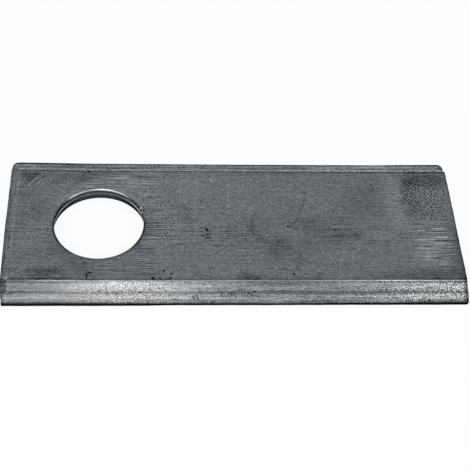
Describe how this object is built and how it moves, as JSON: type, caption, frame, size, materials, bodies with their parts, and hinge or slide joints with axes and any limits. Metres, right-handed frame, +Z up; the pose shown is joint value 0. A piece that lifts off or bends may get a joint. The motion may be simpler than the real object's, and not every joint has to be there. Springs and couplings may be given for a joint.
{
  "type": "rotary mower blade",
  "caption": "Flat rectangular steel blade with both long edges bevelled on the upper face and a round pivot bore near the end, swung by a rotary mower's disc or drum to cut grass.",
  "frame": {"origin": "on the pivot bore's axis, at the blade's underside", "axes": "+X along the blade from the bore to the free end, +Y across to the rear cutting edge, +Z up out of the bevelled face, along the bore"},
  "size_m": [0.096, 0.0384, 0.003],
  "materials": {
    "blade_steel": "dull grey hardened steel with brighter ground bevels"
  },
  "bodies": {
    "root": {"mower_blade": "blade_steel"}
  },
  "joints": []
}
